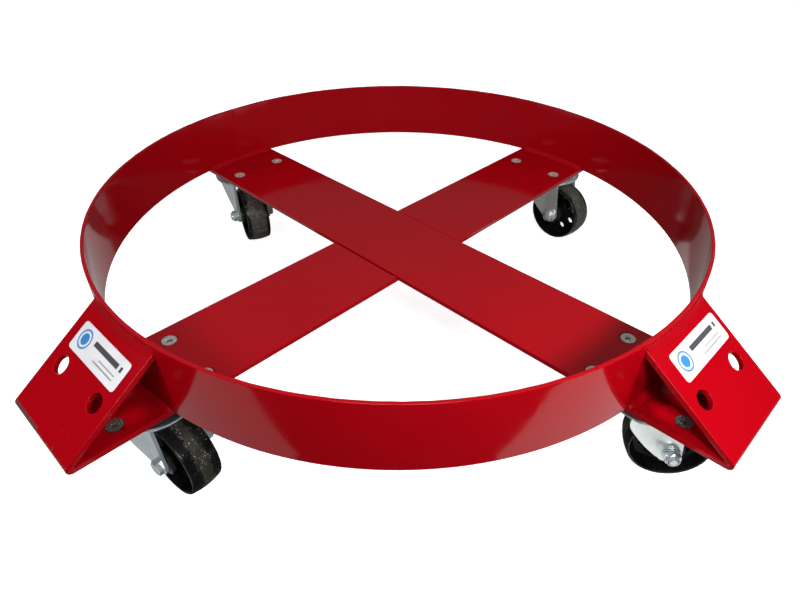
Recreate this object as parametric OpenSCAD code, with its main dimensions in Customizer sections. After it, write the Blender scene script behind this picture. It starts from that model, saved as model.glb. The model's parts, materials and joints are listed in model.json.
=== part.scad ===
// Drum dolly: a round steel ring on a cross of flat bars, with a folded
// bracket at each end of the cross and a swivel caster under each arm.
// Millimetres, +Z up, origin on the floor under the middle of the ring.
// The front-left arm runs along -Y, front-right +X, rear-left -X, rear-right +Y.

/* [Ring] */
// Inside diameter of the drum ring
ring_id = 609.6; // [600:0.4:616]
// Height of the ring above the deck
ring_h = 69; // [66:0.5:80]
// Wall thickness of the ring
ring_t = 3.3; // [3:0.1:4.5]

/* [Cross bars] */
// Width of the flat bars
bar_w = 96.6; // [92:0.2:104]
// Thickness of the flat bars
bar_t = 5; // [4.6:0.1:5.6]
// Weld preparation depth at the two butt joints
groove = 2.4; // [1.2:0.1:3]

/* [Folded brackets] */
// Slope of the folded bracket, degrees
slope = 35; // [34:0.5:36]
// Height of the bracket face above the deck at the ring's inside radius
bracket_h = 61; // [58:0.5:62]
// Diameter of the two holes in each bracket
hole_d = 16; // [10:0.5:18]
// Distance between the two holes
hole_pitch = 59; // [50:1:64]
// Distance of the holes down the slope
hole_s = 56.5; // [54:0.5:59]

/* [Casters] */
// Floor to the underside of the bars
caster_h = 103; // [102:0.5:106]
// Distance of each swivel axis from the middle
caster_r = 303; // [301:0.5:305]
// Wheel radius
wheel_r = 38.1; // [37:0.1:38.6]
// Wheel width
wheel_w = 30; // [28:0.5:31]
// Offset of the axle from the swivel axis
trail = 28; // [26:0.5:30]
// Swivel angle, front-left caster
swivel_fl = 5; // [-180:0.5:180]
// Swivel angle, front-right caster
swivel_fr = 36; // [-180:0.5:180]
// Swivel angle, rear-left caster
swivel_rl = -22; // [-180:0.5:180]
// Swivel angle, rear-right caster
swivel_rr = -4; // [-180:0.5:180]

/* [Caster bolting] */
// Screw spacing along the arm
bolt_x = 80; // [78:0.5:80.5]
// Screw spacing across the arm
bolt_y = 60; // [56:0.5:61]

/* [Labels] */
// Label length
label_l = 75.5; // [60:0.5:78]
// Label width
label_w = 25; // [20:0.5:27]

/* [Hidden] */
$fn = 96;
ring_r = ring_id/2;                       // inside radius of the ring
ring_ro = ring_r + ring_t;                // outside radius of the ring
foot_x = 0.3;                             // weld preparation at the foot of the ring, inside
foot_h = 4.2;
deck_z = caster_h + bar_t;                // top of the bars
// bracket section, measured from the deck: outer face falls from (ring_r, bracket_h)
ts = tan(slope);
in_corner = ring_r + (bracket_h - bar_t/cos(slope))/ts;   // inner fold corner, on the deck
tip_r = in_corner + bar_t;                // outermost radius of the fold
hole_r = ring_r + hole_s*cos(slope) - 1;  // radius of the bracket holes
hole_z = deck_z + bracket_h - (hole_r - ring_r)*ts;
plate_t = 3;                              // caster top plate
crown_z = caster_h - 13.5;                // top of the fork crown
crown_t = 3.5;
crown_r = 38.5;
crown_e = 3;                              // the crown stands off towards the wheel
ball_z = caster_h - 11.7;
ball_r = 3;
race_r = 27;
race_n = 20;
pin_r = 6;
leg_in = wheel_w/2 + 3.6;                 // inner face of each fork leg
leg_t = 3;
leg_out = leg_in + leg_t;
boss_r = 10.6;                            // rounded end of each leg
boss_x = trail - 2;
bend_x = trail - 11.5;                    // the leg is flat from here to its trailing edge and flares outwards ahead of it
flare = 18.3;                             // flare angle, degrees
axle_r = 4;
axle_af = 13;                             // hexagon of the axle bolt and nut
wash_r = 8.4;
bush_in = 7.06;
bush_out = 9;
hub_r = 12.5;

arms = [[0, -90], [1, 0], [2, 180], [3, 90]];   // fl, fr, rl, rr: direction of the arm
swivels = [swivel_fl, swivel_fr, swivel_rl, swivel_rr];

red = [0.62, 0.02, 0.05];
redw = [0.55, 0.03, 0.06];
zinc = [0.74, 0.77, 0.80];
steel = [0.62, 0.64, 0.66];
black = [0.07, 0.07, 0.075];
white = [0.92, 0.93, 0.95];
bronze = [0.62, 0.46, 0.24];

// ---------- placing ----------
module on_arm(i) { rotate([0, 0, arms[i][1]]) children(); }
module at_caster(i) {
    a = arms[i][1];
    translate([caster_r*cos(a), caster_r*sin(a), 0]) rotate([0, 0, swivels[i]]) children();
}
module at_axle(i) { at_caster(i) translate([trail, 0, wheel_r]) rotate([-90, 0, 0]) children(); }
module at_screws() {
    for (sx = [-1, 1], sy = [-1, 1]) translate([caster_r + sx*bolt_x/2, sy*bolt_y/2, 0]) children();
}

// ---------- cross bars ----------
// section of one sloped sheet, drawn in X (outwards) and Y (up from the deck)
module sloped_section() {
    xo = ring_r - 8;                      // start of the sheet, inside the ring wall
    zo = bracket_h + 8*ts;
    n = [sin(slope), cos(slope)];
    polygon([
        [xo, zo], [in_corner + bar_t*n[0], bar_t*n[1]], [in_corner, 0],
        [xo - bar_t*n[0], zo - bar_t*n[1]]
    ]);
}
// flat bar with a sloped sheet folded back up at its outer end
module sloped_sheet() {
    translate([0, bar_w/2, deck_z]) rotate([90, 0, 0]) linear_extrude(bar_w) sloped_section();
    translate([in_corner, bar_w/2, deck_z]) rotate([90, 0, 0]) cylinder(r = bar_t, h = bar_w);
}
module end_holes() {
    // two holes square to the sloped face
    for (s = [-1, 1])
        translate([hole_r, s*hole_pitch/2, hole_z]) rotate([0, slope, 0])
            cylinder(d = hole_d, h = 4*bar_t, center = true);
    // countersunk screw holes
    at_screws() {
        translate([0, 0, caster_h - 1]) cylinder(r = 4.2, h = bar_t - 2.5);
        translate([0, 0, deck_z - 3.7]) cylinder(r1 = 4.2, r2 = 8.4, h = 4.2);
    }
}
module ring_trim() {
    translate([0, 0, deck_z]) cylinder(r = ring_ro, h = ring_h + 40, $fn = 180);
}
module crossbar() {
    color(red) difference() {
        union() {
            translate([-in_corner, -bar_w/2, caster_h]) cube([2*in_corner, bar_w, bar_t]);
            for (i = [1, 2]) on_arm(i) sloped_sheet();
        }
        ring_trim();
        for (i = [1, 2]) on_arm(i) end_holes();
    }
}
module short_arm(i) {
    color(red) on_arm(i) difference() {
        union() {
            translate([bar_w/2, -bar_w/2, caster_h]) cube([in_corner - bar_w/2, bar_w, bar_t]);
            sloped_sheet();
        }
        ring_trim();
        end_holes();
        // bevel of the butt joint
        translate([bar_w/2, 0, deck_z]) rotate([0, 45, 0]) cube([groove*sqrt(2), bar_w + 2, groove*sqrt(2)], center = true);
    }
}
module arm_front_left() { short_arm(0); }
module arm_rear_right() { short_arm(3); }

// ---------- ring ----------
module ring() {
    color(red) translate([0, 0, deck_z]) difference() {
        rotate_extrude($fn = 180) polygon([
            [ring_r + foot_x, 0], [ring_ro, 0], [ring_ro, ring_h - 0.5], [ring_ro - 0.5, ring_h],
            [ring_r + 0.5, ring_h], [ring_r, ring_h - 0.5], [ring_r, foot_h]
        ]);
    }
}
// the ring's own butt weld, on the inside at the rear-left arm
module ring_seam() {
    color(redw) on_arm(2) translate([0, 0, deck_z + 6])
        rotate([0, 0, -0.5]) rotate_extrude(angle = 1, $fn = 180)
            polygon([[ring_r, 0], [ring_r, ring_h - 8], [ring_r - 0.9, ring_h - 8.6], [ring_r - 0.9, 0.6]]);
}

// ---------- welds ----------
module ring_welds() {
    ai = asin((bar_w/2 - 1.5)/ring_ro);
    color(redw) for (i = [0:3]) on_arm(i) translate([0, 0, deck_z]) {
        rotate([0, 0, -ai]) rotate_extrude(angle = 2*ai, $fn = 180)
            polygon([[ring_r - 4, 0], [ring_r + foot_x, 0], [ring_r + foot_x*(1 - 4/foot_h), 4], [ring_r - 1.6, 2.9], [ring_r - 2.9, 1.6]]);
        rotate([0, 0, -ai]) rotate_extrude(angle = 2*ai, $fn = 180)
            polygon([[ring_ro, 0], [ring_ro + 4, 0], [ring_ro + 2.9, 1.6], [ring_ro + 1.6, 2.9], [ring_ro, 4]]);
    }
}
module bracket_welds() {
    ab = asin((bar_w/2 - 1.5)/ring_ro);
    zt = bracket_h - ring_t*ts;
    color(redw) for (i = [0:3]) on_arm(i) translate([0, 0, deck_z]) difference() {
        rotate([0, 0, -ab]) rotate_extrude(angle = 2*ab, $fn = 180)
            polygon([[ring_ro, zt - 3], [ring_ro + 4, zt - 4], [ring_ro + 3.6, zt - 0.5], [ring_ro + 2, zt + 2.6], [ring_ro, zt + 4]]);
        translate([0, bar_w/2 + 1, 0]) rotate([90, 0, 0]) linear_extrude(bar_w + 2) polygon([
            [ring_r - 8, bracket_h + 8*ts], [in_corner, bracket_h + (ring_r - in_corner)*ts],
            [in_corner, 0], [ring_r - 8, 0]
        ]);
    }
}
// beads in the bevels of the two butt joints
module joint_welds() {
    color(redw) for (i = [0, 3]) on_arm(i)
        translate([bar_w/2, bar_w/2 - 2, deck_z]) rotate([90, 0, 0]) linear_extrude(bar_w - 4)
            polygon([[0, -groove], [groove*(i == 0 ? 0.55 : 0.98), -groove*(i == 0 ? 0.45 : 0.02)], [0, -groove*(i == 0 ? 0.45 : 0.02)]]);
}

// ---------- labels ----------
module label(i, s, u) {
    r = ring_r - 1.1 + s*cos(slope);
    z = deck_z + bracket_h - (r - ring_r)*ts;
    color(white) on_arm(i) translate([r, u, z]) rotate([0, slope, 0]) linear_extrude(0.3) {
        square([label_w - 6, label_l], center = true);
        square([label_w, label_l - 6], center = true);
        for (a = [-1, 1], b = [-1, 1]) translate([a*(label_w/2 - 3), b*(label_l/2 - 3)]) circle(r = 3, $fn = 32);
    }
}
module label_front_left() { label(0, 30, 0.8); }
module label_front_right() { label(1, 27.5, 4.6); }

// ---------- deck screws ----------
module deck_screws() {
    color(zinc) for (i = [0:3]) on_arm(i) at_screws() difference() {
        union() {
            translate([0, 0, caster_h - 13.5]) cylinder(r = 4, h = 13.5 + bar_t - 3.8);
            translate([0, 0, deck_z - 3.9]) cylinder(r1 = 4, r2 = 7.6, h = 3.6);
        }
        for (k = [0, 90]) rotate([0, 0, k + 20])
            translate([-3.4, -0.75, deck_z - 2.5]) cube([6.8, 1.5, 4]);
    }
}
module deck_nuts() {
    color(zinc) for (i = [0:3]) on_arm(i) at_screws() translate([0, 0, caster_h - plate_t - 8]) difference() {
        union() {
            translate([0, 0, 2]) cylinder(r = 6.5/cos(30), h = 6, $fn = 6);
            cylinder(r1 = 5.2, r2 = 6, h = 2);
        }
        translate([0, 0, -1]) cylinder(r = 4, h = 10);
    }
}

// ---------- caster: fixed part ----------
module plate(i) {
    pl = 100; pw = 85; rc = 9;
    a = arms[i][1];
    color(zinc) on_arm(i) difference() {
        union() {
            translate([caster_r, 0, caster_h - plate_t]) linear_extrude(plate_t) {
                square([pl - 2*rc, pw], center = true);
                square([pl, pw - 2*rc], center = true);
                for (x = [-1, 1], y = [-1, 1]) translate([x*(pl/2 - rc), y*(pw/2 - rc)]) circle(r = rc, $fn = 48);
            }
            translate([caster_r, 0, 0]) difference() {
                union() {
                    translate([0, 0, caster_h - 8]) cylinder(r = 34, h = 6);
                    translate([0, 0, caster_h - 9.9]) cylinder(r1 = 32.4, r2 = 34, h = 1.91);
                }
                translate([0, 0, caster_h - 11]) cylinder(r = 20, h = 11 - plate_t);
                translate([0, 0, ball_z]) rotate_extrude() translate([race_r, 0]) circle(r = ball_r + 0.05, $fn = 32);
            }
        }
        translate([caster_r, 0, caster_h - 20]) cylinder(r = pin_r, h = 30);
        at_screws() translate([0, 0, caster_h - 20]) cylinder(r = 4.25, h = 30);
    }
}
module kingpin(i) {
    color(steel) on_arm(i) translate([caster_r, 0, 0]) {
        translate([0, 0, crown_z - crown_t - 1]) cylinder(r = pin_r, h = caster_h - crown_z + crown_t + 1);
        translate([0, 0, crown_z + 0.4]) cylinder(r = 10, h = caster_h - plate_t - crown_z - 0.4);
        translate([0, 0, crown_z - crown_t - 3.8]) cylinder(r1 = 8.2, r2 = 10, h = 1.5);
        translate([0, 0, crown_z - crown_t - 2.31]) cylinder(r = 10, h = 2);
    }
}

// ---------- caster: swivelling part ----------
module balls(i) {
    color(steel) at_caster(i) for (k = [0:race_n - 1]) rotate([0, 0, k*360/race_n])
        translate([race_r, 0, ball_z]) sphere(r = ball_r, $fn = 24);
}
// tangent point on the leg's rounded end from a point p; sg picks the side
function tang(p, sg) = let(
    c = [boss_x, wheel_r], v = p - c, d = norm(v), a0 = atan2(v[1], v[0]), a = acos(boss_r/d)
) c + boss_r*[cos(a0 + sg*a), sin(a0 + sg*a)];
// flat part of a leg, seen from the side
module leg_flat() {
    pt = [trail + 3.5, crown_z - 10];
    q = tang(pt, -1);
    polygon([
        [bend_x - 1.5, crown_z - 2], [bend_x - 1.5, wheel_r - 1], [boss_x - 8, wheel_r - 2],
        [boss_x, wheel_r], q, pt, [trail + 3.5, crown_z - 2]
    ]);
}
// flared part: u runs from the bend towards the leading edge
module leg_flare() {
    polygon([
        [-1, crown_z - 2], [36.5, crown_z - 2], [38.2, crown_z - 6.5], [35.9, crown_z - 12.6],
        [30.2, crown_z - 20.8], [23, crown_z - 30.8], [14.7, crown_z - 41.3], [5, crown_z - 52.3],
        [0, crown_z - 57.4], [-1, crown_z - 57.4]
    ]);
}
module leg() {
    translate([0, -leg_in, 0]) rotate([90, 0, 0]) linear_extrude(leg_t) leg_flat();
    translate([boss_x, -leg_in, wheel_r]) rotate([90, 0, 0]) cylinder(r = boss_r, h = leg_t);
    translate([bend_x, -leg_out, 0]) rotate([0, 0, 180 + flare]) rotate([90, 0, 0]) linear_extrude(leg_t) leg_flare();
}
module fork(i) {
    color(zinc) at_caster(i) difference() {
        union() {
            translate([crown_e, 0, 0]) rotate_extrude() polygon([
                [0, crown_z - crown_t], [crown_r - 0.8, crown_z - crown_t], [crown_r, crown_z - crown_t + 0.8],
                [crown_r, crown_z - 1], [crown_r - 1, crown_z], [0, crown_z]
            ]);
            leg();
            mirror([0, 1, 0]) leg();
        }
        translate([0, 0, crown_z - crown_t - 1]) cylinder(r = pin_r + 0.08, h = crown_t + 2);
        translate([0, 0, ball_z]) rotate_extrude() translate([race_r, 0]) circle(r = ball_r + 0.05, $fn = 32);
        translate([trail, 50, wheel_r]) rotate([90, 0, 0]) cylinder(r = axle_r + 0.1, h = 100);
    }
}
// hexagon with both edges chamfered
module hex(af, h) {
    intersection() {
        cylinder(r = af/2/cos(30), h = h, $fn = 6);
        cylinder(r1 = af/2*1.18, r2 = af/2*0.98, h = h);
    }
}
// sd is the side of the head: -1 or 1 along the axle
module axle_bolt(i, sd) {
    len = 2*leg_out + 1.5 + 8;
    color(zinc) at_axle(i) rotate([0, sd < 0 ? 180 : 0, 0]) {
        translate([0, 0, leg_out]) hex(axle_af, 5.3);
        translate([0, 0, leg_out - len + 1]) cylinder(r = axle_r, h = len);
        translate([0, 0, leg_out - len]) cylinder(r1 = axle_r - 1, r2 = axle_r, h = 1);
    }
}
module axle_nut(i, sd) {
    color(zinc) at_axle(i) rotate([0, sd < 0 ? 0 : 180, 0]) translate([0, 0, leg_out + 1.5]) difference() {
        union() {
            hex(axle_af, 6);
            translate([0, 0, 5.9]) cylinder(r1 = 5.9, r2 = 5.2, h = 1.6);
        }
        translate([0, 0, -1]) cylinder(r = axle_r, h = 12);
    }
}
module axle_washer(i, sd) {
    color(zinc) at_axle(i) rotate([0, sd < 0 ? 0 : 180, 0]) translate([0, 0, leg_out]) difference() {
        cylinder(r = wash_r, h = 1.5);
        translate([0, 0, -1]) cylinder(r = axle_r + 0.15, h = 4);
    }
}
module spacer(i) {
    color(steel) at_axle(i) translate([0, 0, -leg_in]) difference() {
        cylinder(r = bush_in - 0.06, h = 2*leg_in);
        translate([0, 0, -1]) cylinder(r = axle_r + 0.1, h = 2*leg_in + 2);
    }
}

// ---------- caster: rolling part ----------
module bush(i) {
    color(bronze) at_axle(i) translate([0, 0, -leg_in + 0.9]) difference() {
        cylinder(r = bush_out, h = 2*leg_in - 1.8);
        translate([0, 0, -1]) cylinder(r = bush_in, h = 2*leg_in + 2);
    }
}
module wheel(i) {
    h = wheel_w/2; hw = leg_in - 0.9; rr = wheel_r;
    color(black) at_axle(i) difference() {
        rotate_extrude($fn = 120) polygon([
            [bush_out, -hw], [hub_r - 0.8, -hw], [hub_r, -hw + 0.8], [hub_r + 0.6, -5], [hub_r + 3, -2.6],
            [rr - 9, -2.2], [rr - 5.6, -4.4], [rr - 4.2, -h + 0.6], [rr - 3.6, -h], [rr - 2.2, -h],
            [rr - 1.5, -h + 0.9], [rr - 0.75, -h*0.62], [rr - 0.15, -h*0.28], [rr, -h*0.1],
            [rr, h*0.1], [rr - 0.15, h*0.28], [rr - 0.75, h*0.62], [rr - 1.5, h - 0.9],
            [rr - 2.2, h], [rr - 3.6, h], [rr - 4.2, h - 0.6], [rr - 5.6, 4.4], [rr - 9, 2.2],
            [hub_r + 3, 2.6], [hub_r + 0.6, 5], [hub_r, hw - 0.8], [hub_r - 0.8, hw], [bush_out, hw]
        ]);
        for (k = [0:7]) rotate([0, 0, k*45 + 22]) translate([21.6, 0, -10]) cylinder(r = 4.6, h = 20, $fn = 48);
    }
}

module plate_fl() { plate(0); }
module plate_fr() { plate(1); }
module plate_rl() { plate(2); }
module plate_rr() { plate(3); }
module kingpin_fl() { kingpin(0); }
module kingpin_fr() { kingpin(1); }
module kingpin_rl() { kingpin(2); }
module kingpin_rr() { kingpin(3); }
module balls_fl() { balls(0); }
module balls_fr() { balls(1); }
module balls_rl() { balls(2); }
module balls_rr() { balls(3); }
module fork_fl() { fork(0); }
module fork_fr() { fork(1); }
module fork_rl() { fork(2); }
module fork_rr() { fork(3); }
module axle_bolt_fl() { axle_bolt(0, -1); }
module axle_bolt_fr() { axle_bolt(1, 1); }
module axle_bolt_rl() { axle_bolt(2, 1); }
module axle_bolt_rr() { axle_bolt(3, 1); }
module axle_nut_fl() { axle_nut(0, -1); }
module axle_nut_fr() { axle_nut(1, 1); }
module axle_nut_rl() { axle_nut(2, 1); }
module axle_nut_rr() { axle_nut(3, 1); }
module axle_washer_fl() { axle_washer(0, -1); }
module axle_washer_fr() { axle_washer(1, 1); }
module axle_washer_rl() { axle_washer(2, 1); }
module axle_washer_rr() { axle_washer(3, 1); }
module spacer_fl() { spacer(0); }
module spacer_fr() { spacer(1); }
module spacer_rl() { spacer(2); }
module spacer_rr() { spacer(3); }
module bush_fl() { bush(0); }
module bush_fr() { bush(1); }
module bush_rl() { bush(2); }
module bush_rr() { bush(3); }
module wheel_fl() { wheel(0); }
module wheel_fr() { wheel(1); }
module wheel_rl() { wheel(2); }
module wheel_rr() { wheel(3); }

ring();
ring_seam();
crossbar();
arm_front_left();
arm_rear_right();
ring_welds();
bracket_welds();
joint_welds();
label_front_left();
label_front_right();
deck_screws();
deck_nuts();
plate_fl();
plate_fr();
plate_rl();
plate_rr();
kingpin_fl();
kingpin_fr();
kingpin_rl();
kingpin_rr();
balls_fl();
balls_fr();
balls_rl();
balls_rr();
fork_fl();
fork_fr();
fork_rl();
fork_rr();
axle_bolt_fl();
axle_bolt_fr();
axle_bolt_rl();
axle_bolt_rr();
axle_nut_fl();
axle_nut_fr();
axle_nut_rl();
axle_nut_rr();
axle_washer_fl();
axle_washer_fr();
axle_washer_rl();
axle_washer_rr();
spacer_fl();
spacer_fr();
spacer_rl();
spacer_rr();
bush_fl();
bush_fr();
bush_rl();
bush_rr();
wheel_fl();
wheel_fr();
wheel_rl();
wheel_rr();
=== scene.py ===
import json
import math

import bpy
import bmesh
import numpy as np
from mathutils import Vector, Matrix


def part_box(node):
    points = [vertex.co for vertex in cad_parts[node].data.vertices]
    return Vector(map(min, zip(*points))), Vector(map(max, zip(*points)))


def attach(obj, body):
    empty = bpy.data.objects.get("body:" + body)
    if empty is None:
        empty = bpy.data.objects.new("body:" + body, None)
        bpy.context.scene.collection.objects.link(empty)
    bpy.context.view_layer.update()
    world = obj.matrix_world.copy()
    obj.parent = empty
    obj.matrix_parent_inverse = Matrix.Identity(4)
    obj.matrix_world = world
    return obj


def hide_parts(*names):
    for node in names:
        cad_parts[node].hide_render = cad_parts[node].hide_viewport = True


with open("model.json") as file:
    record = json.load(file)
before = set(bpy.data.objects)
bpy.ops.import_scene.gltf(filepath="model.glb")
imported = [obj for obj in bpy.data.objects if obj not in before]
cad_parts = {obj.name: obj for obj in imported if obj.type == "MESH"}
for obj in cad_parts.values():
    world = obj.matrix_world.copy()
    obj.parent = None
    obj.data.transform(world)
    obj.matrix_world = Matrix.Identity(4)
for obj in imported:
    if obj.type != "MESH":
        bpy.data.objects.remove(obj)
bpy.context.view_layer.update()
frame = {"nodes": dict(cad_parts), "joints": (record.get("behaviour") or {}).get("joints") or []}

SC = bpy.context.scene
COL = SC.collection

# ------------------------------------------------------------------ sizes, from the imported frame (metres)
ring_lo, ring_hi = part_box("ring")
bar_lo, bar_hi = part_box("crossbar")
RO = ring_hi.x                       # ring, outside radius
RT = 0.0033                          # ring wall
RI = RO - RT
DZ = ring_lo.z                       # deck: top of the bars, foot of the ring
RIM = ring_hi.z
BZ = bar_lo.z                        # underside of the bars
BT = DZ - BZ
HW = bar_hi.y                        # half width of the bars
TIP = bar_hi.x
CORNER = TIP - BT                    # inner fold corner
SLOPE = math.radians(35)
TS = math.tan(SLOPE)
BH = (CORNER - RI) * TS + BT / math.cos(SLOPE)   # height of the sloped face above the deck at RI
NX, NZ = math.sin(SLOPE), math.cos(SLOPE)
ARMS = {"fl": -90, "fr": 0, "rl": 180, "rr": 90}
LONG = {"fl": "front_left", "fr": "front_right", "rl": "rear_left", "rr": "rear_right"}
JT = {j["name"]: j for j in frame["joints"]}


def rotz(deg):
    return Matrix.Rotation(math.radians(deg), 4, "Z")


def slope_z(r):
    """Height of the outer face of a sloped sheet at radius r along its arm."""
    return DZ + BH - (r - RI) * TS


# caster frames: origin on the floor under the swivel axis, x towards the wheel, y along the axle
CF, TRAIL, WR = {}, 0.0, 0.0
for k in ARMS:
    s, w = JT["swivel_" + LONG[k]], JT["roll_" + LONG[k]]
    p, q, ax = Vector(s["pos_m"]), Vector(w["pos_m"]), Vector(w["axis"]).normalized()
    t = ax.cross(Vector((0, 0, 1)))
    CF[k] = Matrix(((t.x, ax.x, 0, p.x), (t.y, ax.y, 0, p.y), (0, 0, 1, 0), (0, 0, 0, 1)))
    TRAIL, WR = (q - p).dot(t), q.z


# ------------------------------------------------------------------ small mesh kit
def lattice(ix, iy, iz, seed):
    n = (ix * 374761393 + iy * 668265263 + iz * 2147483647 + seed * 974634777) & 0xFFFFFFFF
    n = ((n ^ (n >> 13)) * 1274126177) & 0xFFFFFFFF
    n = (n ^ (n >> 16)) & 0xFFFFFFFF
    return n.astype(np.float64) / 0xFFFFFFFF * 2 - 1


def vnoise(p, freq, seed=0):
    """Smooth value noise in -1..1 at points p, the same each run."""
    q = np.asarray(p, float) * freq + 1000.0
    i = np.floor(q).astype(np.int64)
    f = q - i
    f = f * f * (3 - 2 * f)
    out = 0
    for dx in (0, 1):
        for dy in (0, 1):
            for dz in (0, 1):
                w = (f[:, 0] if dx else 1 - f[:, 0]) * (f[:, 1] if dy else 1 - f[:, 1]) * (f[:, 2] if dz else 1 - f[:, 2])
                out = out + w * lattice(i[:, 0] + dx, i[:, 1] + dy, i[:, 2] + dz, seed)
    return out


def make(name, verts, faces):
    me = bpy.data.meshes.new(name)
    me.from_pydata([tuple(map(float, v)) for v in verts], [], [tuple(map(int, f)) for f in faces])
    me.validate()
    me.update()
    ob = bpy.data.objects.new(name, me)
    COL.objects.link(ob)
    return ob


def outward(ob):
    bm = bmesh.new()
    bm.from_mesh(ob.data)
    bmesh.ops.recalc_face_normals(bm, faces=bm.faces)
    bm.to_mesh(ob.data)
    bm.free()
    return ob


def revolve(name, prof, n=64, closed=True):
    """Turns (r, z) points about Z. A closed profile is a loop off the axis; an open one runs from axis to axis."""
    prof = [(float(r), float(z)) for r, z in prof]
    verts, faces, ring = [], [], []
    for r, z in prof:
        if r < 1e-9:
            ring.append([len(verts)] * n)
            verts.append((0, 0, z))
        else:
            ring.append(list(range(len(verts), len(verts) + n)))
            verts += [(r * math.cos(2 * math.pi * i / n), r * math.sin(2 * math.pi * i / n), z) for i in range(n)]
    m = len(prof)
    for a in range(m if closed else m - 1):
        A, B = ring[a], ring[(a + 1) % m]
        for i in range(n):
            j = (i + 1) % n
            f = [A[i], A[j], B[j], B[i]]
            g = []
            for v in f:
                if v not in g:
                    g.append(v)
            if len(g) > 2:
                faces.append(g)
    return outward(make(name, verts, faces))


def prism(name, pts, h0, h1, axis="Z"):
    """Closed outline pulled along an axis: Z uses (x, y), Y uses (x, z), X uses (y, z)."""
    n = len(pts)
    verts = []
    for h in (h0, h1):
        for a, b in pts:
            verts.append({"Z": (a, b, h), "Y": (a, h, b), "X": (h, a, b)}[axis])
    faces = [list(range(n)), list(range(2 * n - 1, n - 1, -1))]
    faces += [[i, (i + 1) % n, n + (i + 1) % n, n + i] for i in range(n)]
    return outward(make(name, verts, faces))


def arc(cx, cy, r, a0, a1, n):
    return [(cx + r * math.cos(math.radians(a0 + (a1 - a0) * i / n)), cy + r * math.sin(math.radians(a0 + (a1 - a0) * i / n))) for i in range(n + 1)]


def hexagon(r, turn=0):
    return [(r * math.cos(math.radians(60 * i + turn)), r * math.sin(math.radians(60 * i + turn))) for i in range(6)]


def rounded(lx, ly, r, n=6):
    pts = []
    for cx, cy, a in ((lx / 2 - r, ly / 2 - r, 0), (-lx / 2 + r, ly / 2 - r, 90), (-lx / 2 + r, -ly / 2 + r, 180), (lx / 2 - r, -ly / 2 + r, 270)):
        pts += arc(cx, cy, r, a, a + 90, n)
    return pts


def bake(ob):
    """Applies every modifier."""
    dg = bpy.context.evaluated_depsgraph_get()
    me = bpy.data.meshes.new_from_object(ob.evaluated_get(dg))
    old = ob.data
    ob.modifiers.clear()
    ob.data = me
    bpy.data.meshes.remove(old)
    me.name = ob.name
    return ob


def boolean(ob, others, op="DIFFERENCE"):
    for o in others:
        m = ob.modifiers.new("b", "BOOLEAN")
        m.operation, m.solver, m.object = op, "EXACT", o
    bake(ob)
    for o in others:
        me = o.data
        bpy.data.objects.remove(o)
        bpy.data.meshes.remove(me)
    return ob


def tidy(ob, dist=2e-6):
    bm = bmesh.new()
    bm.from_mesh(ob.data)
    bmesh.ops.remove_doubles(bm, verts=bm.verts, dist=dist)
    bmesh.ops.dissolve_degenerate(bm, edges=bm.edges, dist=dist)
    bm.to_mesh(ob.data)
    bm.free()
    return ob


def bevel(ob, width, segments=2, angle=32):
    m = ob.modifiers.new("v", "BEVEL")
    m.width, m.segments, m.limit_method, m.angle_limit = width, segments, "ANGLE", math.radians(angle)
    m.use_clamp_overlap = True
    m.miter_outer = "MITER_ARC"
    return bake(ob)


def smooth(ob, angle=40, weighted=True):
    me = ob.data
    me.polygons.foreach_set("use_smooth", [True] * len(me.polygons))
    me.set_sharp_from_angle(angle=math.radians(angle))
    if weighted:
        w = ob.modifiers.new("n", "WEIGHTED_NORMAL")
        w.keep_sharp, w.weight = True, 60
    return ob


def move(ob, m):
    ob.data.transform(m)
    return ob


def local_coords(ob):
    """Keeps the piece's own coordinates as an attribute, for patterns that go with it."""
    me = ob.data
    co = np.zeros(len(me.vertices) * 3, np.float32)
    me.vertices.foreach_get("co", co)
    if "lc" in me.attributes:
        me.attributes.remove(me.attributes["lc"])
    me.attributes.new("lc", "FLOAT_VECTOR", "POINT").data.foreach_set("vector", co)
    return ob


def copy(ob, name, m=None):
    o = bpy.data.objects.new(name, ob.data.copy())
    o.data.name = name
    COL.objects.link(o)
    for mod in ob.modifiers:
        if mod.type == "WEIGHTED_NORMAL":
            w = o.modifiers.new("n", "WEIGHTED_NORMAL")
            w.keep_sharp, w.weight = True, mod.weight
    if m is not None:
        o.data.transform(m)
    return o


def drop(ob):
    me = ob.data
    bpy.data.objects.remove(ob)
    bpy.data.meshes.remove(me)


def joined(name, obs):
    """One mesh of several separate closed ones."""
    bm = bmesh.new()
    for o in obs:
        bm.from_mesh(o.data)
    me = bpy.data.meshes.new(name)
    bm.to_mesh(me)
    bm.free()
    for o in obs:
        drop(o)
    ob = bpy.data.objects.new(name, me)
    COL.objects.link(ob)
    return ob


def out(ob, body, mat, slot, *nodes):
    ob.data.materials.clear()
    ob.data.materials.append(mat)
    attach(ob, body)
    if nodes:
        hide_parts(*nodes)
    return ob


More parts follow.
